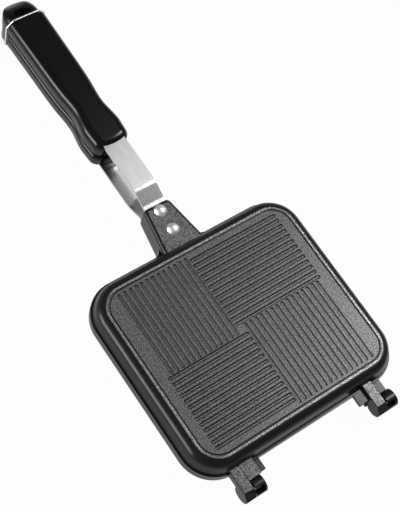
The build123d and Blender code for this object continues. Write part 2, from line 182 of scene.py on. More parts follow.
class Workpiece:
    """One mesh on the bench, shaped with primitives and edit-mode operators."""

    def __init__(self, obj: bpy.types.Object) -> None:
        """Takes an object that was just added.

        Args:
            obj: the mesh object.
        """
        self.obj = obj
        self.settle()

    @staticmethod
    def clear() -> None:
        """Leaves edit mode and deselects everything."""
        if bpy.context.object and bpy.context.object.mode != "OBJECT":
            bpy.ops.object.mode_set(mode="OBJECT")
        bpy.ops.object.select_all(action="DESELECT")

    @classmethod
    def block(cls, low: Triple, high: Triple) -> "Workpiece":
        """Adds a square block between two corners."""
        cls.clear()
        centre = [(a + b) / 2 * MM for a, b in zip(low, high)]
        size = [(b - a) * MM for a, b in zip(low, high)]
        bpy.ops.mesh.primitive_cube_add(size=1, location=centre, scale=size)
        return cls(bpy.context.object)

    @classmethod
    def rod(cls, radius: float, start: Triple, end: Triple, sides: int = 64) -> "Workpiece":
        """Adds a round bar between two points.

        Args:
            radius: the bar's radius.
            start: middle of one end.
            end: middle of the other end.
            sides: facets round the bar.

        Returns:
            The bar.
        """
        cls.clear()
        axis = Vector(end) - Vector(start)
        middle = (Vector(end) + Vector(start)) / 2 * MM
        turn = axis.to_track_quat("Z", "Y").to_euler()
        bpy.ops.mesh.primitive_cylinder_add(
            vertices=sides, radius=radius * MM, depth=axis.length * MM, location=middle, rotation=turn
        )
        return cls(bpy.context.object)

    @classmethod
    def chain(cls, points: Sequence[Triple], closed: bool) -> "Workpiece":
        """Draws a line of edges by extruding a single vertex from point to point.

        Args:
            points: the line's points.
            closed: whether to join the ends and fill the outline.

        Returns:
            The line, or the filled outline.
        """
        cls.clear()
        bpy.ops.mesh.primitive_plane_add(size=MM, location=Vector(points[0]) * MM)
        piece = cls(bpy.context.object)
        piece.edit()
        bpy.ops.mesh.select_mode(type="VERT")
        bpy.ops.mesh.select_all(action="SELECT")
        bpy.ops.mesh.merge(type="CENTER")
        for before, after in zip(points, points[1:]):
            step = (Vector(after) - Vector(before)) * MM
            bpy.ops.mesh.extrude_region_move(TRANSFORM_OT_translate={"value": step})
        if closed:
            bpy.ops.mesh.select_all(action="SELECT")
            bpy.ops.mesh.edge_face_add()
        return piece.done()

    @classmethod
    def prism(cls, outline: Sequence[Pair], low: float, high: float) -> "Workpiece":
        """Raises a flat outline from one level to another.

        Args:
            outline: the outline's points in order.
            low: the level that it is drawn on.
            high: the level that it is raised to.

        Returns:
            The closed prism.
        """
        piece = cls.chain([(x, y, low) for x, y in outline], closed=True)
        piece.pick(Mode.FACE, lambda face: True)
        piece.extrude((0, 0, high - low))
        bpy.ops.mesh.select_all(action="SELECT")
        bpy.ops.mesh.normals_make_consistent(inside=False)
        return piece.done()

    def hold(self) -> "Workpiece":
        """Leaves edit mode and selects this piece alone."""
        self.clear()
        self.obj.select_set(True)
        bpy.context.view_layer.objects.active = self.obj
        return self

    def edit(self) -> None:
        """Opens this piece alone in edit mode."""
        self.hold()
        bpy.ops.object.mode_set(mode="EDIT")

    def done(self) -> "Workpiece":
        """Leaves edit mode."""
        bpy.ops.object.mode_set(mode="OBJECT")
        return self

    def settle(self) -> "Workpiece":
        """Moves the object's place, turn and scale into its mesh."""
        self.hold()
        bpy.ops.object.transform_apply(location=True, rotation=True, scale=True)
        return self

    def pick(self, mode: Mode, test: Test) -> None:
        """Opens the piece and selects what passes a test, by its place or normal.

        Args:
            mode: whether edges or faces are tested.
            test: takes a bmesh element and says whether it is wanted.
        """
        if self.obj.mode != "EDIT":
            self.edit()
        bpy.ops.mesh.select_mode(type=mode.value)
        bpy.ops.mesh.select_all(action="DESELECT")
        mesh = bmesh.from_edit_mesh(self.obj.data)
        for item in mesh.edges if mode is Mode.EDGE else mesh.faces:
            if test(item):
                item.select_set(True)
        mesh.select_flush_mode()
        bmesh.update_edit_mesh(self.obj.data)

    def extrude(self, step: Triple) -> None:
        """Extrudes the selection."""
        bpy.ops.mesh.extrude_region_move(TRANSFORM_OT_translate={"value": Vector(step) * MM})

    def inset(self, thickness: float, depth: float = 0.0) -> None:
        """Insets the selected faces, raised by depth."""
        bpy.ops.mesh.inset(thickness=thickness * MM, depth=depth * MM)

    def bevel(self, width: float, segments: int) -> None:
        """Rounds the selected edges."""
        bpy.ops.mesh.bevel(
            offset=width * MM, segments=segments, profile=0.5, affect="EDGES", clamp_overlap=True
        )

    def bevel_where(self, test: Test, width: float, segments: int) -> "Workpiece":
        """Rounds the edges that pass a test, and leaves edit mode."""
        self.pick(Mode.EDGE, test)
        self.bevel(width, segments)
        return self.done()

    def modify(self, kind: str, **settings: Any) -> "Workpiece":
        """Adds a modifier and applies it.

        Args:
            kind: the modifier's type.
            **settings: its settings, by name.

        Returns:
            This piece.
        """
        self.hold()
        modifier = self.obj.modifiers.new(kind.lower(), kind)
        for name, value in settings.items():
            setattr(modifier, name, value)
        bpy.ops.object.modifier_apply(modifier=modifier.name)
        return self

    def combine(self, other: "Workpiece", how: Cut) -> "Workpiece":
        """Cuts, joins or crosses this piece with another, which is used up.

        Args:
            other: the tool.
            how: what the tool does.

        Returns:
            This piece.
        """
        self.modify("BOOLEAN", operation=how.value, solver="EXACT", object=other.obj)
        bpy.data.objects.remove(other.obj)
        return self

    def gather(self, others: Sequence["Workpiece"]) -> "Workpiece":
        """Joins other pieces into this one without cutting."""
        self.hold()
        for other in others:
            other.obj.select_set(True)
        bpy.ops.object.join()
        return self

    def copy(self) -> "Workpiece":
        """Copies the piece with its own mesh."""
        self.hold()
        bpy.ops.object.duplicate(linked=False)
        return Workpiece(bpy.context.object)

    def move(self, step: Triple) -> "Workpiece":
        """Shifts the piece."""
        self.obj.location = Vector(step) * MM
        return self.settle()

    def turn(self, angle: float, axis: str, centre: Triple = (0.0, 0.0, 0.0)) -> "Workpiece":
        """Turns the piece about a point by an angle in degrees."""
        middle = Matrix.Translation(Vector(centre) * MM)
        self.obj.matrix_world = middle @ Matrix.Rotation(math.radians(angle), 4, axis) @ middle.inverted()
        return self.settle()

    def clean(self) -> "Workpiece":
        """Merges doubled vertices and points all faces outwards."""
        self.edit()
        bpy.ops.mesh.select_mode(type="VERT")
        bpy.ops.mesh.select_all(action="SELECT")
        bpy.ops.mesh.remove_doubles(threshold=MERGE * MM)
        bpy.ops.mesh.normals_make_consistent(inside=False)
        return self.done()

    def soften(self, width: float, segments: int = 2, angle: float = 32.0) -> "Workpiece":
        """Rounds every edge sharper than an angle, or keeps it crisp, and evens out the shading.

        Args:
            width: how far the rounding reaches, 0 for none.
            segments: facets across it.
            angle: edges that turn less are left alone, in degrees.

        Returns:
            This piece.
        """
        limit = math.radians(angle)
        if width > 0:
            self.modify(
                "BEVEL",
                width=width * MM,
                segments=segments,
                limit_method="ANGLE",
                angle_limit=limit,
                use_clamp_overlap=True,
            )
        self.hold()
        bpy.ops.object.shade_smooth_by_angle(angle=limit)
        return self.modify("WEIGHTED_NORMAL", keep_sharp=True)

    def mark(self, test: Callable[[Vector, Vector], float]) -> "Workpiece":
        """Stores a number on each face, from its centre and normal, for the finish to read."""
        mesh = self.obj.data
        marks = mesh.attributes.new(SAND_AND_PAINTED_LIGHT, "FLOAT", "FACE")
        for face in mesh.polygons:
            marks.data[face.index].value = test(face.center / MM, face.normal)
        return self


# ---------------------------------------------------------------- shader maths


class Signal:
    """One output socket of a material, used in ordinary arithmetic."""

    def __init__(self, graph: "Graph", socket: bpy.types.NodeSocket) -> None:
        """Wraps a socket of a graph."""
        self.graph = graph
        self.socket = socket

    def __add__(self, other: "Operand") -> "Signal":
        """Adds."""
        return self.graph.maths("ADD", self, other)

    __radd__ = __add__

    def __mul__(self, other: "Operand") -> "Signal":
        """Multiplies."""
        return self.graph.maths("MULTIPLY", self, other)

    __rmul__ = __mul__

    def above(self, level: float, spread: float) -> "Signal":
        """Turns into a mask that rises from 0 to 1 over a spread from a level."""
        ramp = self.graph.node(
            "ShaderNodeMapRange",
            {"interpolation_type": "SMOOTHSTEP"},
            {"Value": self, "From Min": level, "From Max": level + spread},
        )
        return Signal(self.graph, ramp.outputs["Result"])


Operand = Union[Signal, int, float]


class Graph:
    """The node tree of one material."""

    def __init__(self, name: str) -> None:
        """Starts an empty material."""
        self.material = bpy.data.materials.new(name)
        self.material.use_nodes = True
        self.tree = self.material.node_tree
        self.tree.nodes.clear()

    def node(self, kind: str, settings: dict[str, Any], inputs: Inputs) -> bpy.types.Node:
        """Adds any node.

        Args:
            kind: the node's type.
            settings: its own settings, set first.
            inputs: values or signals for its sockets.

        Returns:
            The new node.
        """
        made = self.tree.nodes.new(kind)
        for key, value in settings.items():
            setattr(made, key, value)
        for key, value in inputs.items():
            if isinstance(value, Signal):
                self.tree.links.new(value.socket, made.inputs[key])
            else:
                made.inputs[key].default_value = value
        return made

    def maths(self, operation: str, first: Operand, second: Operand) -> Signal:
        """Adds a Math node."""
        made = self.node("ShaderNodeMath", {"operation": operation}, {0: first, 1: second})
        return Signal(self, made.outputs[0])

    def place(self, scale: Triple = (1.0, 1.0, 1.0)) -> Signal:
        """Object coordinates in metres, stretched along the axes."""
        coords = self.node("ShaderNodeTexCoord", {}, {})
        mapping = self.node(
            "ShaderNodeMapping", {}, {"Vector": Signal(self, coords.outputs["Object"]), "Scale": scale}
        )
        return Signal(self, mapping.outputs["Vector"])

    def attribute(self, name: str) -> Signal:
        """A number stored on the mesh."""
        return Signal(self, self.node("ShaderNodeAttribute", {"attribute_name": name}, {}).outputs["Fac"])

    def noise(self, where: Signal, grain: float, detail: float = 2.0, rough: float = 0.5) -> Signal:
        """Soft noise whose features are about a grain of millimetres across."""
        made = self.node(
            "ShaderNodeTexNoise",
            {},
            {"Vector": where, "Scale": 1 / (grain * MM), "Detail": detail, "Roughness": rough},
        )
        return Signal(self, made.outputs["Fac"])

    def blend(self, amount: Operand, first: Any, second: Any) -> Signal:
        """Mixes two colours, given as triples or signals."""
        inputs: Inputs = {0: amount}
        for key, colour in ((6, first), (7, second)):
            inputs[key] = colour if isinstance(colour, Signal) else (*colour, 1.0)
        made = self.node("ShaderNodeMix", {"data_type": "RGBA", "clamp_factor": True}, inputs)
        return Signal(self, made.outputs[2])

    def bump(self, height: Signal, depth: float, strength: float = 1.0) -> Signal:
        """Turns a height into a normal; depth is in millimetres."""
        inputs = {"Height": height, "Distance": depth * MM, "Strength": strength}
        return Signal(self, self.node("ShaderNodeBump", {}, inputs).outputs["Normal"])

    def surface(self, inputs: Inputs) -> bpy.types.Material:
        """Ends the material in a Principled shader and returns it."""
        shader = self.node("ShaderNodeBsdfPrincipled", {}, inputs)
        out = self.node("ShaderNodeOutputMaterial", {}, {})
        self.tree.links.new(shader.outputs[0], out.inputs["Surface"])
        return self.material


# ---------------------------------------------------------------- finishes


@dataclass(frozen=True)
class CoatedCasting:
    """Dark release coating: sand-textured with fine metal flake on flats, smooth on walls; its face mark
    also paints light, with darker walls, slot floors and low lug faces as painted shade and a flakier lip
    as a painted highlight.
    """

    name: str = "coated_casting"
    # Darker tone of the walls and slot curves, partly a painted shade.
    smooth: Triple = (0.0065, 0.0065, 0.007)
    dark: Triple = (0.016, 0.016, 0.0165)
    light: Triple = (0.030, 0.030, 0.031)
    flake: Triple = (0.60, 0.60, 0.61)
    grain: float = 0.8
    flake_share: float = 0.28
    sheen_level: float = 0.20

    def material(self) -> bpy.types.Material:
        """Builds the material."""
        graph = Graph(self.name)
        where = graph.place()
        flat = graph.attribute(SAND_AND_PAINTED_LIGHT)
        sand = graph.noise(where, self.grain, 3.0, 0.7)
        fine = graph.noise(where, self.grain * 0.45, 2.0, 0.6)
        patch = graph.noise(where, 24.0, 2.0)
        ripple = graph.noise(where, 3.5, 2.0)
        # The face mark scales the flake share, so the lip's level above 1 adds a painted highlight.
        flakes = (sand * 0.6 + fine * 0.4).above(0.42, 0.18) * flat * self.flake_share
        tone = graph.blend(sand.above(0.38, 0.24), self.dark, self.light)
        # Flats take the lighter sand tone and walls the darker smooth one: partly a painted shade.
        tone = graph.blend(flat, self.smooth, tone)
        tone = graph.blend(patch.above(0.35, 0.4) * 0.2, tone, self.smooth)
        relief = flat * (sand + fine * 0.4) + ripple * 0.5
        return graph.surface(
            {
                "Base Color": graph.blend(flakes, tone, self.flake),
                "Metallic": flakes,
                "Roughness": 0.26 + patch * 0.05 + ripple * 0.03 + flat * 0.02,
                "Specular IOR Level": self.sheen_level,
                "Normal": graph.bump(relief, 0.05, 0.6),
            }
        )


@dataclass(frozen=True)
class BrushedStrip:
    """Stainless strip brushed along its length."""

    name: str = "brushed_strip"
    colour: Triple = (0.60, 0.60, 0.605)
    streak: Triple = (0.46, 0.46, 0.465)

    def material(self) -> bpy.types.Material:
        """Builds the material."""
        graph = Graph(self.name)
        lines = graph.noise(graph.place((0.02, 1.0, 0.3)), 0.22, 3.0, 0.65)
        smear = graph.noise(graph.place((0.3, 1.0, 1.0)), 6.0, 2.0)
        tone = graph.blend(lines.above(0.35, 0.4), self.streak, self.colour)
        return graph.surface(
            {
                "Base Color": graph.blend(smear.above(0.4, 0.5) * 0.3, tone, self.streak),
                "Metallic": 1.0,
                "Roughness": 0.13 + lines * 0.08 + smear * 0.03,
                "Normal": graph.bump(lines, 0.004, 0.4),
            }
        )


@dataclass(frozen=True)
class MarkedMetal:
    """Bare metal with fine marks, which darken and dull it."""

    name: str
    colour: Triple
    shade: Triple
    stretch: Triple
    grain: float
    detail: float
    spread: float
    roughness: float
    dulling: float
    relief: float
    relief_strength: float

    def material(self) -> bpy.types.Material:
        """Builds the material."""
        graph = Graph(self.name)
        marks = graph.noise(graph.place(self.stretch), self.grain, self.detail)
        return graph.surface(
            {
                "Base Color": graph.blend(marks.above(0.5, self.spread) * 0.3, self.colour, self.shade),
                "Metallic": 1.0,
                "Roughness": self.roughness + marks * self.dulling,
                "Normal": graph.bump(marks, self.relief, self.relief_strength),
            }
        )


POLISHED_HEAD = MarkedMetal(
    name="polished_head",
    colour=(0.86, 0.86, 0.87),
    shade=(0.66, 0.66, 0.67),
    stretch=(1.0, 1.0, 0.2),
    grain=0.9,
    detail=3.0,
    spread=0.35,
    roughness=0.36,
    dulling=0.10,
    relief=0.0025,
    relief_strength=0.3,
)
DRAWN_WIRE = MarkedMetal(
    name="drawn_wire",
    colour=(0.58, 0.58, 0.59),
    shade=(0.40, 0.40, 0.41),
    stretch=(1.0, 0.1, 0.1),
    grain=0.25,
    detail=2.0,
    spread=0.4,
    roughness=0.26,
    dulling=0.12,
    relief=0.004,
    relief_strength=0.4,
)


@dataclass(frozen=True)
class BlackMoulding:
    """Glossy black thermoset with a faint ripple, fine scuffs and dull specks."""

    name: str = "black_moulding"
    colour: Triple = (0.0022, 0.0022, 0.0025)
    dull: Triple = (0.007, 0.007, 0.0075)
    gloss_level: float = 0.20

    def material(self) -> bpy.types.Material:
        """Builds the material."""
        graph = Graph(self.name)
        where = graph.place()
        ripple = graph.noise(where, 5.0, 1.0)
        scuffs = graph.noise(graph.place((0.12, 1.0, 1.0)), 0.5, 3.0, 0.6).above(0.62, 0.2)
        return graph.surface(
            {
                "Base Color": graph.blend(scuffs * 0.5, self.colour, self.dull),
                "Roughness": 0.19 + scuffs * 0.08 + ripple * 0.04,
                "Specular IOR Level": self.gloss_level,
                "Normal": graph.bump(ripple, 0.012, 0.5),
            }
        )


@dataclass(frozen=True)
class TurnedSteel:
    """Turned or plated steel of pins and screws."""

    name: str = "turned_steel"
    colour: Triple = (0.50, 0.50, 0.51)
    stained: Triple = (0.30, 0.29, 0.28)

    def material(self) -> bpy.types.Material:
        """Builds the material."""
        graph = Graph(self.name)
        rings = graph.noise(graph.place((0.3, 1.0, 0.3)), 0.3, 2.0)
        stain = graph.noise(graph.place(), 1.8, 3.0)
        return graph.surface(
            {
                "Base Color": graph.blend(stain.above(0.45, 0.3) * 0.5, self.colour, self.stained),
                "Metallic": 1.0,
                "Roughness": 0.28 + rings * 0.14 + stain * 0.05,
                "Normal": graph.bump(rings, 0.01, 0.5),
            }
        )


class Finishes:
    """One material for each finish of the iron."""

    def __init__(self) -> None:
        """Builds them all."""
        self.casting = CoatedCasting().material()
        self.strip = BrushedStrip().material()
        self.head = POLISHED_HEAD.material()
        self.moulding = BlackMoulding().material()
        self.wire = DRAWN_WIRE.material()
        self.steel = TurnedSteel().material()


# ---------------------------------------------------------------- handing pieces over


def put_in_place(piece: Workpiece, half: Half) -> Workpiece:
    """Sets a face-up half piece on the joint plane, turned over for the lower half.

    Args:
        piece: the piece as drawn; it is used up.
        half: where it goes.

    Returns:
        The placed piece.
    """
    if half is Half.LOWER:
        piece.turn(180, "X")
    return piece.move((0, 0, JOINT_PLANE))


def present(
    piece: Workpiece, name: str, body: str, material: bpy.types.Material, nodes: Sequence[str]
) -> bpy.types.Object:
    """Names, dresses and hands over a finished piece.

    Args:
        piece: the finished workpiece.
        name: the piece's name.
        body: the body that it rides on.
        material: its finish.
        nodes: the frame nodes that it stands for.

    Returns:
        The finished object.
    """
    obj = piece.settle().obj
    obj.name = name
    obj.data.name = name
    obj.data.materials.clear()
    obj.data.materials.append(material)
    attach(obj, body)
    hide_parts(*nodes)
    log.info("%s: %d faces on %s", name, len(obj.data.polygons), body)
    return obj


def present_pair(model: Workpiece, name: str, material: bpy.types.Material, node: str) -> None:
    """Sets a face-up model in the lower and the upper half and hands both over.

    Args:
        model: the piece as drawn; it is used up.
        name: the pieces' name after their half's.
        material: their finish.
        node: the frame nodes' name after their half's.
    """
    for half, piece in ((Half.LOWER, model.copy()), (Half.UPPER, model)):
        side = half.value
        present(put_in_place(piece, half), f"{side}_{name}", half.body, material, [f"{side}_{node}"])


def present_row(
    model: Workpiece,
    places: Sequence[tuple[str, float]],
    name: str,
    material: bpy.types.Material,
    node: str,
) -> None:
    """Sets copies of a face-up model along both halves and hands them over.

    Args:
        model: the piece as drawn at x = 0; it is used up.
        places: the name and distance along x of each copy.
        name: the pieces' name after their half's and place's.
        material: their finish.
        node: the frame nodes' name after their half's and place's.
    """
    for half in Half:
        for end, x in places:
            placed = put_in_place(model.copy().move((x, 0, 0)), half)
            side = f"{half.value}_{end}"
            present(placed, f"{side}_{name}", half.body, material, [f"{side}_{node}"])
    bpy.data.objects.remove(model.obj)


# ---------------------------------------------------------------- plates


@dataclass(frozen=True)
class SandAndPaintedLight:
    """How much of the sand-textured coating each kind of face shows, and how faces are told apart; the
    levels also paint light: lower ones in slots and on low lug faces are painted shade, and the lip's level
    above 1 is a painted highlight.
    """

    flat: float = 1.0
    # Painted highlight: the lip gets more flake than a flat, so it reads bright.
    lip: float = 1.8
    # Painted shade: slot floors and slot curves are kept darker than the flats.
    slot_floor_sand_and_painted_shade: float = 0.85
    slot_curve_sand_and_painted_shade: float = 0.25
    # Painted shade: low flat faces on the lugs are kept darker.
    lug_top_sand_and_painted_shade: float = 0.3
    # Walls take the darker smooth tone, partly a painted shade.
    wall: float = 0.0
    flat_rise: float = 0.9966
    floor_rise: float = 0.99
    curve_rise: float = 0.95
    face_band: float = 12.5
    rim_band: float = 5.0
    slot_border: float = 0.6


@dataclass
class Plate:
    """Die-cast plate with its dish, border groove, pinwheel of slots, tang and lugs."""

    half_length: float = 67.6
    half_width: float = 76.9
    corner: float = 23.0
    rim: float = 0.15
    flange_top: float = 3.15
    ledge: float = 1.1
    face: float = 14.0
    wall_run: float = 2.6
    shoulder_run: float = 4.7
    lip: float = 1.25
    lip_drop: float = 0.08
    groove_width: float = 0.9
    groove_depth: float = 0.55
    groove_belly: float = 0.05
    groove_edge: float = 0.12
    slot_pitch: float = 4.0
    slot_half: float = 0.9
    slot_lip: float = 0.30
    slot_depth: float = 0.85
    slot_over: float = 0.1
    slot_section: tuple[Pair, ...] = ((0.02, 0.13), (0.13, 0.31), (0.17, 0.26), (0.20, 0.19), (0.20, 0.11))
    slot_end_x: float = 55.2
    slot_end_y: float = 59.9
    slot_shy: float = 1.8
    rim_land: float = 4.0
    dish_depth: float = 10.6
    dish_draft: float = 3.65
    dish_roll: float = 2.1
    tang_end: float = -96.7
    tang_top: float = 8.7
    tang_half_end: float = 9.5
    tang_half_root: float = 14.3
    tang_corner: float = 3.0
    tang_roll: float = 2.6
    foot_splay: float = 18.0
    foot_fillet: float = 6.0
    foot_corner: float = 2.0
    pocket_ceiling: float = 6.5
    pocket_half: float = 8.0
    pocket_inner: float = -71.0
    rivet_hole: float = 2.22
    knuckle: float = 5.7
    knuckle_relief: float = 0.6
    arm_tip: Pair = (85.93, 0.9)
    arm_crest: float = 0.9
    arm_roll: float = 0.5
    mouth_angle: float = 45.0
    mouth_reach: float = 12.0
    pin_arm: Pair = (-58.0, -51.0)
    pin_root: Pair = (-51.0, -42.0)
    pin_root_end: float = 76.3
    pin_eye: Pair = (-56.22, -41.0)
    pin_fit: float = 0.02
    pin_mouth: float = 1.9
    hook_arm: Pair = (43.0, 50.0)
    hook_foot: Pair = (36.0, 44.0)
    hook_foot_end: float = 75.1
    hook_foot_roll: float = 0.4
    hook_eye: Pair = (44.4, 51.0)
    hook_fit: float = 0.05
    hook_narrowing: float = 0.04
    sand_and_painted_light_levels: SandAndPaintedLight = SandAndPaintedLight()

    @property
    def inside(self) -> float:
        """Distance along x of the rim's inner edge, where tang and lugs begin."""
        return self.half_length - self.rim_land

    def plan(self, inset: float) -> list[Pair]:
        """Plate outline, set in from the flange's edge."""
        x, y = self.half_length - inset, self.half_width - inset
        return rounded_box((-x, -y), (x, y), [self.corner - inset] * 4, 16)

    def shell(self) -> Workpiece:
        """Flange, drafted wall rolled into the face, lip and border groove."""
        shell = Workpiece.prism(self.plan(0), self.rim, self.flange_top)
        shell.pick(Mode.FACE, at("z", self.flange_top))
        shell.inset(self.ledge)
        shell.inset(self.wall_run, self.face - self.flange_top)
        shell.pick(Mode.EDGE, at("z", self.face))
        shell.bevel(self.shoulder_run, 16)
        shell.pick(Mode.FACE, at("z", self.face))
        lip, width, deep = self.lip, self.groove_width, self.groove_depth
        steps = [(lip * 0.75, 0), (lip * 0.25, -self.lip_drop), (width * 0.2, self.lip_drop - deep)]
        steps += [(width * 0.3, -self.groove_belly), (width * 0.25, self.groove_belly)]
        steps += [(width * 0.15, deep * 0.7), (self.groove_edge, deep * 0.3)]
        for run, rise in steps:
            shell.inset(run, rise)
        return shell.done()

    def dish(self) -> Workpiece:
        """Cutter for the hollow that takes the bread."""
        cutter = Workpiece.prism(self.plan(self.rim_land), -2.0, 0.0)
        cutter.pick(Mode.FACE, at("z", 0.0))
        cutter.inset(self.dish_draft, self.dish_depth)
        return cutter.bevel_where(at("z", self.dish_depth), self.dish_roll, 6)

    def slot(self, length: float) -> Workpiece:
        """Cutter for one slot along x, with rounded lips and a soft floor.

        Args:
            length: overall length of the slot.

        Returns:
            The cutter, centred on the origin.
        """
        reach, half = length / 2 + self.slot_lip, self.slot_half + self.slot_lip
        outline = rounded_box((-reach, -half), (reach, half), [half * 0.9] * 4, 5)
        start = self.face + self.slot_over
        cutter = Workpiece.prism(outline, start, self.face + 1.0)
        cutter.pick(Mode.FACE, at("z", start))
        for run, share in self.slot_section:
            cutter.inset(run, self.slot_depth * share)
        return cutter.done()

    def slots(self) -> Workpiece:
        """Cutters of all four blocks, turned about a small plain square."""
        pitch, shy, end_x, end_y = self.slot_pitch, self.slot_shy, self.slot_end_x, self.slot_end_y
        columns = range(1, int((end_x - self.slot_half) / pitch) + 1)
        rows = int((end_y - self.slot_half) / pitch) + 1
        blocks = [
            (end_y - shy + 2 * pitch, 90, [(-pitch * n, (end_y + shy - 2 * pitch) / 2) for n in columns]),
            (end_y - shy, 90, [(pitch * n, -(end_y + shy) / 2) for n in columns]),
            (end_x + pitch - shy, 0, [((pitch - shy - end_x) / 2, -pitch * n) for n in range(2, rows)]),
            (end_x + pitch - shy, 0, [((end_x + shy - pitch) / 2, pitch * n) for n in range(rows)]),
        ]
        cutters: list[Workpiece] = []
        for length, angle, places in blocks:
            model = self.slot(length)
            if angle:
                model.turn(angle, "Z")
            for x, y in places[1:]:
                cutters.append(model.copy().move((x, y, 0)))
            cutters.append(model.move((*places[0], 0)))
        return cutters[0].gather(cutters[1:])

    def tang(self) -> Workpiece:
        """Tapered stub with a rolled face and a flared foot."""
        root_x, root, end = -self.half_length, self.tang_half_root, self.tang_half_end
        corners = [(-self.inside, -root), (root_x, -root), (self.tang_end, -end)]
        corners += [(x, -y) for x, y in reversed(corners)]
        radii = [0, 0, self.tang_corner, self.tang_corner, 0, 0]
        stub = Workpiece.prism(rounded_path(corners, radii, 8, closed=True), self.rim, self.tang_top)
        on_top = at("z", self.tang_top)
        inner_end = at("x", -self.inside)
        stub.bevel_where(lambda edge: on_top(edge) and not inner_end(edge), self.tang_roll, 10)
        splay = root + self.foot_splay
        foot = [(-self.inside, -splay), (root_x, -splay), (root_x, -root), (self.tang_end, -end)]
        foot += [(x, -y) for x, y in reversed(foot)]
        radii = [0, 0, self.foot_fillet, self.foot_corner, self.foot_corner, self.foot_fillet, 0, 0]
        flat = rounded_path(foot, radii, 8, closed=True)
        return stub.combine(Workpiece.prism(flat, self.rim, self.flange_top), Cut.JOIN)

    def lug_bar(self, radius: float, span: Pair) -> Workpiece:
        """Round bar along the hinge axis between two distances across the plate."""
        return Workpiece.rod(radius, (HINGE_X, span[0], 0), (HINGE_X, span[1], 0))

    def lug_arm(self, span: Pair) -> Workpiece:
        """Arm with a flat top and a sloping end, round below the joint plane.

        Args:
            span: the arm's two sides, across the plate.

        Returns:
            The arm without its eye.
        """
        low, high = span
        rim, top = self.rim, self.knuckle
        side = [(self.inside, rim), (HINGE_X, rim), self.arm_tip, (HINGE_X + self.arm_crest, top)]
        side.append((self.inside, top))
        arm = Workpiece.prism(side, -high, -low).turn(90, "X")
        on_top, sides = at("z", top), (at("y", low), at("y", high))
        arm.bevel_where(lambda edge: on_top(edge) and any(on(edge) for on in sides), self.arm_roll, 4)
        knuckle = self.lug_bar(top, span)
        lower_part = Workpiece.block((self.inside, low - 1, -9.0), (95.0, high + 1, self.arm_tip[1]))
        return arm.combine(knuckle.combine(lower_part, Cut.KEEP), Cut.JOIN)

    def eye(self, radius: float, mouth: float, span: Pair) -> Workpiece:
        """Cutter for an eye round the pin axis.

        Args:
            radius: the eye's radius.
            mouth: half the width of its mouth.
            span: the cutter's two ends, across the plate.

        Returns:
            The cutter.
        """
        slit = Workpiece.block((0, span[0], -mouth), (self.mouth_reach, span[1], mouth))
        slit.turn(self.mouth_angle, "Y").move((HINGE_X, 0, 0))
        return self.lug_bar(radius, span).combine(slit, Cut.JOIN)

    def pin_lug(self) -> Workpiece:
        """Lug that holds the pin, with a wide root relieved for the other plate's hook."""
        low, high = self.pin_root
        root = Workpiece.block((self.inside, low, self.rim), (self.pin_root_end, high, self.knuckle))
        relief = (self.pin_arm[0], self.pin_eye[1])
        root.combine(self.lug_bar(self.knuckle + self.knuckle_relief, relief), Cut.AWAY)
        lug = self.lug_arm(self.pin_arm).combine(root, Cut.JOIN)
        return lug.combine(self.eye(PIN_RADIUS + self.pin_fit, self.pin_mouth, self.pin_eye), Cut.AWAY)

    def hook_lug(self) -> Workpiece:
        """Hook that takes the other plate's pin, closed at its inner side by a cheek."""
        low, high = self.hook_foot
        foot = Workpiece.block((self.inside, low, self.rim), (self.hook_foot_end, high, self.flange_top))
        foot.bevel_where(at("x", self.hook_foot_end), self.hook_foot_roll, 2)
        lug = self.lug_arm(self.hook_arm).combine(foot, Cut.JOIN)
        bore = PIN_RADIUS + self.hook_fit
        return lug.combine(self.eye(bore, bore - self.hook_narrowing, self.hook_eye), Cut.AWAY)

    def sand_and_painted_light(self, centre: Vector, normal: Vector) -> float:
        """Says how much of the sand-textured coating a face shows, with painted shade and a painted
        highlight mixed in.

        Args:
            centre: the face's middle, in millimetres.
            normal: its direction.

        Returns:
            0 for a smooth wall, partly a painted shade, 1 for a flat, less in slots and on low lug faces as
            painted shade, and more on the lip as a painted highlight.
        """
        kind = self.sand_and_painted_light_levels
        inset_x, inset_y = self.half_length - abs(centre.x), self.half_width - abs(centre.y)
        on_face = centre.z > kind.face_band
        beside_x = abs(centre.x) < self.slot_end_x + kind.slot_border
        beside_y = abs(centre.y) < self.slot_end_y + kind.slot_border
        if on_face and beside_x and beside_y:
            # Slot faces take lower levels: painted shade.
            if normal.z > kind.floor_rise:
                return kind.slot_floor_sand_and_painted_shade
            return kind.slot_curve_sand_and_painted_shade if normal.z > kind.curve_rise else kind.wall
        if abs(normal.z) < kind.flat_rise:
            return kind.wall
        if centre.z < kind.rim_band:
            # Low faces on the lugs take a lower level: painted shade.
            return kind.lug_top_sand_and_painted_shade if centre.x > self.half_length else kind.wall
        lip_end = self.ledge + self.wall_run + self.shoulder_run + self.lip
        # The lip's higher level is a painted highlight.
        return kind.lip if on_face and min(inset_x, inset_y) < lip_end else kind.flat

    def build(self) -> Workpiece:
        """The whole casting, face up."""
        plate = self.shell().combine(self.tang(), Cut.JOIN)
        plate.combine(self.dish(), Cut.AWAY)
        low = (self.tang_end - 5, -self.pocket_half, -3.0)
        pocket = Workpiece.block(low, (self.pocket_inner, self.pocket_half, self.pocket_ceiling))
        plate.combine(pocket, Cut.AWAY)
        plate.combine(self.slots(), Cut.AWAY)
        for lug in (self.pin_lug(), self.hook_lug()):
            plate.combine(lug, Cut.JOIN)
        for _, x in RIVET_PLACES:
            plate.combine(Workpiece.rod(self.rivet_hole, (x, 0, 0), (x, 0, self.face)), Cut.AWAY)
        return plate.clean().soften(0.0, angle=40.0).mark(self.sand_and_painted_light)

    def dress(self, finishes: Finishes) -> None:
        """Makes the casting once and sets it in both halves."""
        present_pair(self.build(), "casting", finishes.casting, "plate")


# ---------------------------------------------------------------- straps and fasteners


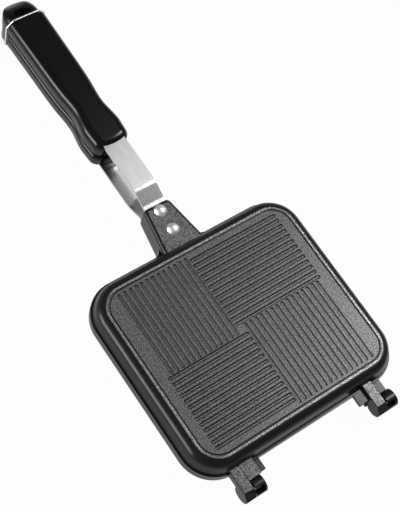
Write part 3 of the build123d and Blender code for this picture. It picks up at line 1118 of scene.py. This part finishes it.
def lathe(profile: Sequence[Pair], sides: int = 64) -> Workpiece:
    """Spins a profile about the z axis.

    Args:
        profile: (radius, height) points from pole to pole.
        sides: facets round it.

    Returns:
        The closed turned piece.
    """
    piece = Workpiece.chain([(radius, 0.0, height) for radius, height in profile], closed=False)
    piece.edit()
    bpy.ops.mesh.select_all(action="SELECT")
    bpy.ops.mesh.spin(steps=sides, angle=math.tau, center=(0, 0, 0), axis=(0, 0, 1))
    return piece.done().clean()


@dataclass
class Strap:
    """Steel strip with a joggle between tang and grip."""

    half_width: float = 7.9
    thickness: float = 1.5
    low: float = 5.75
    high: float = 10.75
    start: float = -71.8
    first_bend: float = -97.7
    second_bend: float = -110.5
    end: float = -232.4
    bend_radius: float = 13.0

    def build(self) -> Workpiece:
        """Extrudes the strip's line sideways and gives it its thickness."""
        corners = [(self.start, self.low), (self.first_bend, self.low), (self.second_bend, self.high)]
        corners.append((self.end, self.high))
        line = rounded_path(corners, [0, self.bend_radius, self.bend_radius, 0], 14, closed=False)
        strip = Workpiece.chain([(x, -self.half_width, z) for x, z in line], closed=False)
        strip.pick(Mode.EDGE, lambda edge: True)
        strip.extrude((0, 2 * self.half_width, 0))
        strip.done().clean()
        strip.modify("SOLIDIFY", thickness=self.thickness * MM, offset=0.0, use_even_offset=True)
        return strip.soften(0.10, 2, 40.0)

    def dress(self, finishes: Finishes) -> None:
        """Makes both straps."""
        present_pair(self.build(), "strip", finishes.strip, "strap")


@dataclass
class Rivets:
    """Domed aluminium rivets through tang and strap."""

    head_radius: float = 4.2
    head_height: float = 2.3
    head_edge: float = 0.12
    dome_steps: int = 14
    shank: float = 2.2
    seat: float = 8.7
    back: float = 5.0
    tail_radius: float = 3.3
    tail_height: float = 1.1
    tail_edge: float = 0.5
    tail_roll: float = 0.4

    def build(self) -> Workpiece:
        """Spins one rivet, head up."""
        head, seat, back, tail = self.head_radius, self.seat, self.back, self.tail_radius
        dome = (head**2 + self.head_height**2) / (2 * self.head_height)
        spread = math.asin(head / dome)
        centre = seat + self.head_height - dome
        tail_end = back - self.tail_height
        angles = [spread * n / self.dome_steps for n in range(self.dome_steps)]
        profile = [(dome * math.sin(angle), centre + dome * math.cos(angle)) for angle in angles]
        profile += [(head, seat + self.head_edge), (head, seat), (self.shank, seat), (self.shank, back)]
        profile += [(tail, back), (tail, back - self.tail_edge), (tail - self.tail_roll, tail_end)]
        profile.append((0.0, tail_end))
        return lathe(profile).soften(0.0)

    def dress(self, finishes: Finishes) -> None:
        """Makes the four rivets from one."""
        present_row(self.build(), RIVET_PLACES, "domed_rivet", finishes.head, "rivet")


@dataclass
class HingePins:
    """Plain steel pins held in the closed lugs."""

    low: float = -56.2
    high: float = -44.6
    edge: float = 0.15
    chamfer: float = 0.4
    dimple_share: float = 0.4
    dimple_depth: float = 0.25

    def build(self) -> Workpiece:
        """Spins one pin and lays it along the hinge axis."""
        radius, edge, length = PIN_RADIUS, self.edge, self.high - self.low
        inner = radius - self.chamfer
        profile = [(0.0, 0.0), (radius - edge, 0.0), (radius, edge), (radius, length - self.chamfer)]
        profile += [(inner, length), (inner * self.dimple_share, length), (0.0, length - self.dimple_depth)]
        pin = lathe(profile, 48).turn(-90, "X")
        return pin.move((HINGE_X, self.low, 0)).soften(0.0)

    def dress(self, finishes: Finishes) -> None:
        """Makes both pins."""
        present_pair(self.build(), "turned_pin", finishes.steel, "hinge_pin")


@dataclass
class GripScrews:
    """Pan-head screws with a cross recess, sunk in the grips' joint sides."""

    head_radius: float = 3.1
    head_low: float = 0.9
    head_top: float = 2.8
    pan: tuple[Pair, ...] = ((0.0, 0.0), (0.55, 0.06), (0.82, 0.28), (0.96, 0.66), (1.0, 1.1))
    shank: float = 1.5
    tip: float = 11.4
    recess: float = 1.1
    blade_half: float = 1.7
    blade_thick: float = 0.32
    blade_draft: float = 0.12

    def build(self) -> Workpiece:
        """Spins one screw, head down, and cuts its cross."""
        low, top, head = self.head_low, self.head_top, self.head_radius
        profile = [(head * share, low + rise) for share, rise in self.pan]
        profile += [(head, top), (self.shank, top), (self.shank, self.tip), (0.0, self.tip)]
        screw = lathe(profile, 48)
        for angle in (45, 135):
            length, thick = self.blade_half, self.blade_thick
            blade = Workpiece.block((-length, -thick, low - 1.0), (length, thick, low))
            blade.pick(Mode.FACE, at("z", low))
            blade.inset(self.blade_draft, self.recess)
            screw.combine(blade.done().turn(angle, "Z"), Cut.AWAY)
        return screw.clean().soften(0.06, 1, 40.0)

    def dress(self, finishes: Finishes) -> None:
        """Makes the four screws from one."""
        present_row(self.build(), SCREW_PLACES, "cross_screw", finishes.steel, "grip_screw")


# ---------------------------------------------------------------- grips and bail


@dataclass
class Grip:
    """Glossy moulded grip with a finger neck, a narrow nose and a hanging hole."""

    front: float = -142.6
    crown: float = 2.6
    front_half: float = 12.5
    stations: tuple[Pair, ...] = ((0.0, 13.3), (18.4, 11.2), (35.4, 12.5), (65.8, 13.1), (91.0, 13.4))
    flare: float = -157.6
    shoulder: float = -248.6
    face: float = 13.7
    joint: float = 0.4
    front_corner: float = 6.5
    crown_kept: float = 0.72
    face_radius: float = 6.2
    joint_radius: float = 3.4
    nose_end: float = 12.2
    nose_root: float = 1.75
    upper_reach: float = 18.4
    upper_step: float = 1.75
    upper_edge: float = 6.6
    swing_radius: float = 22.45
    swing_roll: float = 5.8
    lower_reach: float = 17.3
    lower_step: float = 0.5
    lower_edge: float = 2.2
    lower_tip_roll: float = 6.0
    foot_hole: float = 0.8
    foot_hole_floor: float = 8.2
    hole_x: float = -254.2
    hole_half: float = 6.0
    hole_radius: float = 4.2
    slot_half: float = 8.0
    slot_low: float = 9.9
    slot_high: float = 11.6
    slot_end: float = -233.2
    sink_radius: float = 3.4
    sink_depth: float = 2.8
    screw_hole: float = 1.7
    screw_depth: float = 10.75

    def outline(self) -> list[Pair]:
        """Grip seen from above: crowned front, flare, neck, then a long swell."""
        bow = (self.front_half**2 + self.crown**2) / (2 * self.crown)
        reach = math.asin(self.front_half / bow)
        arc = [
            (self.front - bow + bow * math.cos(reach * n / 8), bow * math.sin(reach * n / 8))
            for n in range(-8, 9)
        ]
        nearest = self.front - self.crown + self.crown * self.crown_kept
        middle = [(x, y) for x, y in arc[1:-1] if x >= nearest]
        side = [(self.flare - run, half) for run, half in smooth_widths(self.stations, 10)]
        across = [(x, -y) for x, y in reversed(side)]
        plain = [0.0] * len(side)
        radii = [*plain, self.front_corner, *[0.0] * len(middle), self.front_corner, *plain]
        return rounded_path([*across, arc[0], *middle, arc[-1], *side], radii, 10, closed=True)

    def barrel(self) -> Workpiece:
        """Main length with its long edges rolled over."""
        barrel = Workpiece.prism(self.outline(), self.joint, self.face)
        for level, radius, steps in ((self.face, self.face_radius, 10), (self.joint, self.joint_radius, 8)):

            on_level, at_root = at("z", level), at("x", self.shoulder)
            barrel.bevel_where(lambda edge: on_level(edge) and not at_root(edge), radius, steps)
        return barrel

    def nose_block(self, length: float, step: float, edge: float) -> Workpiece:
        """Narrow end with rolled long edges.

        Args:
            length: reach beyond the shoulder.
            step: drop below the grip's face.
            edge: radius of the long edges.

        Returns:
            The nose before it is trimmed.
        """
        tip, root = self.shoulder - length, self.shoulder + self.nose_root
        width, high = NOSE_HALF, self.face - step
        corners = [(root, -width), (root, width), (tip, width), (tip, -width)]
        outline = rounded_path(corners, [0, 0, self.nose_end, self.nose_end], 20, closed=True)
        nose = Workpiece.prism(outline, self.joint, high)
        section = rounded_box((-width, self.joint - high), (width, high), [0.01, 0.01, edge, edge], 12)
        tube = Workpiece.prism(section, 0.0, root - tip + 2)
        tube.turn(90, "X").turn(90, "Z").move((tip - 1, 0, 0))
        return nose.combine(tube, Cut.KEEP)

    def upper_nose(self) -> Workpiece:
        """Nose kept inside the barrel that the bail's bar swings round."""
        nose = self.nose_block(self.upper_reach, self.upper_step, self.upper_edge)
        ends = [(BAIL_X, side * NOSE_HALF, -BAIL_DROP) for side in (-1, 1)]
        swing = Workpiece.rod(self.swing_radius, ends[0], ends[1], 256)
        across = [at("y", side * NOSE_HALF) for side in (-1, 1)]
        swing.bevel_where(lambda edge: any(on(edge) for on in across), self.swing_roll, 10)
        return nose.combine(swing, Cut.KEEP)

    def lower_nose(self) -> Workpiece:
        """Deeper nose that carries the bail's feet, rolled over at its tip."""
        nose = self.nose_block(self.lower_reach, self.lower_step, self.lower_edge)
        low, high = self.joint - 1, self.face - self.lower_step
        tip, root = self.shoulder - self.lower_reach, self.shoulder + 5
        side = rounded_box((tip, low), (root, high), [0, 0, 0, self.lower_tip_roll], 12)
        nose.combine(Workpiece.prism(side, -15.0, 15.0).turn(90, "X"), Cut.KEEP)
        for hand in (-1, 1):
            floor = (BAIL_X, hand * self.foot_hole_floor, BAIL_DROP)
            bore = Workpiece.rod(self.foot_hole, floor, (BAIL_X, hand * 14.0, BAIL_DROP), 32)
            nose.combine(bore, Cut.AWAY)
        return nose

    def build(self, nose: Workpiece) -> Workpiece:
        """Joins the nose on and cuts the hanging hole, strap slot and screw holes."""
        grip = self.barrel().combine(nose, Cut.JOIN)
        x, half, radius = self.hole_x, self.hole_half, self.hole_radius
        hole = rounded_box((x - radius, -half), (x + radius, half), [radius * 0.999] * 4, 12)
        grip.combine(Workpiece.prism(hole, -1.0, 15.0), Cut.AWAY)
        low = (self.slot_end, -self.slot_half, self.slot_low)
        grip.combine(Workpiece.block(low, (self.front + 1, self.slot_half, self.slot_high)), Cut.AWAY)
        for _, place in SCREW_PLACES:
            sink = Workpiece.rod(self.sink_radius, (place, 0, 0), (place, 0, self.sink_depth), 48)
            shaft = Workpiece.rod(self.screw_hole, (place, 0, 0), (place, 0, self.screw_depth), 32)
            grip.combine(sink.combine(shaft, Cut.JOIN), Cut.AWAY)
        return grip.clean().soften(0.0, angle=34.0)

    def dress(self, finishes: Finishes) -> None:
        """Makes both grips."""
        for half, nose in ((Half.UPPER, self.upper_nose()), (Half.LOWER, self.lower_nose())):
            placed = put_in_place(self.build(nose), half)
            name = f"{half.value}_moulding"
            present(placed, name, half.body, finishes.moulding, [f"{half.value}_grip"])


@dataclass
class Bail:
    """Bent wire bail: a bar over the upper nose, legs down to the lower one."""

    wire: float = 0.75
    foot: float = 8.6
    leg: float = 13.6
    corner: float = 14.1
    corner_z: float = 22.0
    bar_half: float = 9.2
    bar_z: float = 27.0
    bends: Triple = (1.0, 1.6, 1.6)

    def build(self) -> Workpiece:
        """Draws the wire's line and gives it its round section."""
        pivot = JOINT_PLANE - BAIL_DROP
        half = [(self.foot, pivot), (self.leg, pivot), (self.corner, self.corner_z)]
        half.append((self.bar_half, self.bar_z))
        corners = half + [(-y, z) for y, z in reversed(half)]
        radii = [0.0, *self.bends, *reversed(self.bends), 0.0]
        line = rounded_path(corners, radii, 8, closed=False)
        Workpiece.chain([(BAIL_X, y, z) for y, z in line], closed=False).hold()
        bpy.ops.object.convert(target="CURVE")
        wire = bpy.context.object.data
        wire.bevel_depth = self.wire * MM
        wire.bevel_resolution = 6
        wire.use_fill_caps = True
        bpy.ops.object.convert(target="MESH")
        return Workpiece(bpy.context.object).clean().soften(0.0, angle=50.0)

    def dress(self, finishes: Finishes) -> None:
        """Makes the bail."""
        present(self.build(), "wire_bail", "bail", finishes.wire, ["lock_bail"])


# ---------------------------------------------------------------- studio


@dataclass
class Studio:
    """Pale floor, soft lamps and the camera."""

    eye: Triple = (0.14057, -0.30837, 0.69839)
    right: Triple = (0.55998, 0.80155, 0.20962)
    up: Triple = (-0.78845, 0.43785, 0.43201)
    back: Triple = (0.25449, -0.40719, 0.87717)
    lens: float = 89.73
    sensor: float = 36.0
    target: Triple = (-0.09, 0.0, 0.014)
    lamps: tuple[tuple[str, Triple, Pair, float], ...] = (
        ("key", (0.0, 0.84, 1.15), (0.42, 0.42), 14.0),
        ("top_card", (-0.46, 0.52, 1.15), (0.3, 0.4), 0.46),
        ("side_panel", (-0.41, -1.16, 0.33), (0.85, 0.42), 20.0),
    )
    daylight: float = 0.27
    floor_radius: float = 9.0
    floor_drop: float = 0.0002
    floor_white: float = 0.98
    floor_tones: tuple[Triple, Triple] = ((0.17, 0.17, 0.17), (0.19, 0.19, 0.19))

    def camera(self) -> None:
        """Adds the camera at its measured place."""
        data = bpy.data.cameras.new("camera")
        data.lens = self.lens
        data.sensor_fit = "VERTICAL"
        data.sensor_height = self.sensor
        data.sensor_width = self.sensor
        data.clip_start, data.clip_end = 0.01, 20.0
        camera = bpy.data.objects.new("camera", data)
        bpy.context.scene.collection.objects.link(camera)
        turn = Matrix((self.right, self.up, self.back)).transposed()
        camera.matrix_world = Matrix.Translation(self.eye) @ turn.to_4x4()
        bpy.context.scene.camera = camera

    def lights(self) -> None:
        """Adds the soft lamps, each turned to the iron."""
        for name, place, size, power in self.lamps:
            data = bpy.data.lights.new(name, "AREA")
            data.shape = "RECTANGLE"
            data.size, data.size_y = size
            data.energy = power
            lamp = bpy.data.objects.new(name, data)
            bpy.context.scene.collection.objects.link(lamp)
            lamp.location = place
            lamp.rotation_euler = (Vector(place) - Vector(self.target)).to_track_quat("Z", "Y").to_euler()

    def world(self) -> None:
        """Even grey light all round, as from the studio's walls."""
        world = bpy.data.worlds.new("studio")
        world.use_nodes = True
        bpy.context.scene.world = world
        light = world.node_tree.nodes["Background"]
        light.inputs["Color"].default_value = (1, 1, 1, 1)
        light.inputs["Strength"].default_value = self.daylight

    def floor(self) -> None:
        """Large floor, white as seen and in reflections, and grey paint to all other light."""
        Workpiece.clear()
        bpy.ops.mesh.primitive_circle_add(
            vertices=96, radius=self.floor_radius, fill_type="NGON", location=(0, 0, -self.floor_drop)
        )
        floor = bpy.context.object
        floor.name = "floor"
        graph = Graph("pale_floor")
        path = graph.node("ShaderNodeLightPath", {}, {})
        seen = Signal(graph, path.outputs["Is Camera Ray"]) + Signal(graph, path.outputs["Is Glossy Ray"])
        seen = seen + Signal(graph, path.outputs["Is Transmission Ray"])
        tone = graph.blend(graph.noise(graph.place(), 40.0, 2.0), *self.floor_tones)
        paint = graph.node("ShaderNodeBsdfPrincipled", {}, {"Base Color": tone, "Roughness": 0.9})
        glow = graph.node("ShaderNodeEmission", {}, {"Color": (1, 1, 1, 1), "Strength": 1.0})
        sides = {1: Signal(graph, paint.outputs[0]), 2: Signal(graph, glow.outputs[0])}
        share = graph.node("ShaderNodeMixShader", {}, {0: seen * self.floor_white, **sides})
        out = graph.node("ShaderNodeOutputMaterial", {}, {})
        graph.tree.links.new(share.outputs[0], out.inputs["Surface"])
        floor.data.materials.append(graph.material)

    def set_up(self) -> None:
        """Sets the whole studio."""
        self.camera()
        self.lights()
        self.world()
        self.floor()
        bpy.context.scene.view_settings.view_transform = "Standard"
        log.info("studio: camera, %d lamps and a floor", len(self.lamps))


@dataclass
class PieIron:
    """The whole iron."""

    plate: Plate = field(default_factory=Plate)
    strap: Strap = field(default_factory=Strap)
    rivets: Rivets = field(default_factory=Rivets)
    pins: HingePins = field(default_factory=HingePins)
    screws: GripScrews = field(default_factory=GripScrews)
    grip: Grip = field(default_factory=Grip)
    bail: Bail = field(default_factory=Bail)

    def build(self, finishes: Finishes) -> None:
        """Builds and dresses every sub-assembly in turn."""
        for part in (self.plate, self.strap, self.rivets, self.pins, self.screws, self.grip, self.bail):
            part.dress(finishes)


def main() -> None:
    """Builds the studio and the iron."""
    Studio().set_up()
    PieIron().build(Finishes())


if __name__ == "__main__":
    main()
